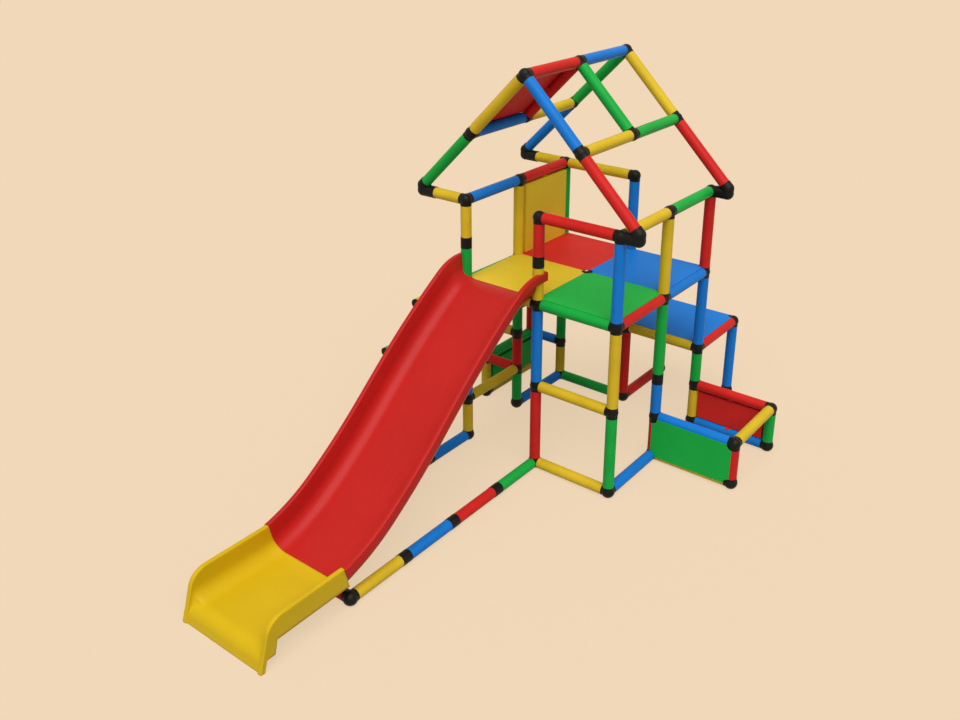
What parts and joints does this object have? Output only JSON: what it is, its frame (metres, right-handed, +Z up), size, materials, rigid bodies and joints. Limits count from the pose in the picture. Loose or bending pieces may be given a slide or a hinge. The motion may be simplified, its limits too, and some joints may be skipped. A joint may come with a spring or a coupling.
{
  "type": "climbing tower with slide",
  "caption": "Modular tube climbing tower with a gabled roof frame, hooked-on deck and wall panels, side bays, side rungs and a long slide with a run-out.",
  "frame": {"origin": "centre of the flat foot under the tower's front middle post, on the ground, beside the slide", "axes": "+Z up, +X to the right as seen from the slide's foot, +Y from the slide's foot towards the tower's back, so the slide runs down towards -Y"},
  "size_m": [1.8689, 2.8844, 1.8462],
  "materials": {
    "red_plastic": "smooth moulded and extruded plastic, half gloss",
    "blue_plastic": "smooth moulded and extruded plastic, half gloss",
    "green_plastic": "smooth moulded and extruded plastic, half gloss",
    "yellow_plastic": "smooth moulded and extruded plastic, half gloss",
    "black_plastic": "smooth moulded plastic, half gloss",
    "red_slide": "smooth moulded plastic sheet, gloss worn slightly by use",
    "yellow_slide": "smooth moulded plastic sheet, gloss worn slightly by use"
  },
  "bodies": {
    "root": {"posts_red": "red_plastic", "posts_blue": "blue_plastic", "posts_green": "green_plastic", "posts_yellow": "yellow_plastic", "ground_beams_red": "red_plastic", "ground_beams_blue": "blue_plastic", "ground_beams_green": "green_plastic", "ground_beams_yellow": "yellow_plastic", "low_beams_yellow": "yellow_plastic", "step_beams_yellow": "yellow_plastic", "step_beam_red": "red_plastic", "step_beam_green": "green_plastic", "step_beam_blue": "blue_plastic", "deck_beams_green": "green_plastic", "deck_beams_red": "red_plastic", "deck_beams_blue": "blue_plastic", "deck_beams_yellow": "yellow_plastic", "grip_rails_red": "red_plastic", "grip_rail_blue": "blue_plastic", "grip_rails_yellow": "yellow_plastic", "grip_rail_green": "green_plastic", "roof_tubes_red": "red_plastic", "roof_tubes_blue": "blue_plastic", "roof_tubes_green": "green_plastic", "roof_tubes_yellow": "yellow_plastic", "right_wing_red": "red_plastic", "right_wing_blue": "blue_plastic", "right_wing_green": "green_plastic", "left_wing_red": "red_plastic", "left_wing_blue": "blue_plastic", "left_wing_green": "green_plastic", "left_wing_yellow": "yellow_plastic", "floor_rails_green": "green_plastic", "floor_rails_red": "red_plastic", "floor_rails_blue": "blue_plastic", "floor_rails_yellow": "yellow_plastic", "rung_stringer": "green_plastic", "upper_rung": "yellow_plastic", "lower_rung": "green_plastic", "rung_caps": "black_plastic", "foot_joints": "black_plastic", "couplings": "black_plastic", "frame_joints": "black_plastic", "deck_joints": "black_plastic", "rail_joints": "black_plastic", "roof_joints": "black_plastic", "elbows": "black_plastic", "deck_panel_yellow": "yellow_plastic", "deck_panel_red": "red_plastic", "deck_panel_green": "green_plastic", "deck_panel_blue": "blue_plastic", "step_panel": "blue_plastic", "wall_panel": "yellow_plastic", "right_wing_panel_green": "green_plastic", "right_wing_panel_red": "red_plastic", "left_wing_panel": "green_plastic", "roof_panel": "red_plastic", "long_slide": "red_slide", "runout": "yellow_slide", "slide_screws": "red_slide"}
  },
  "joints": []
}
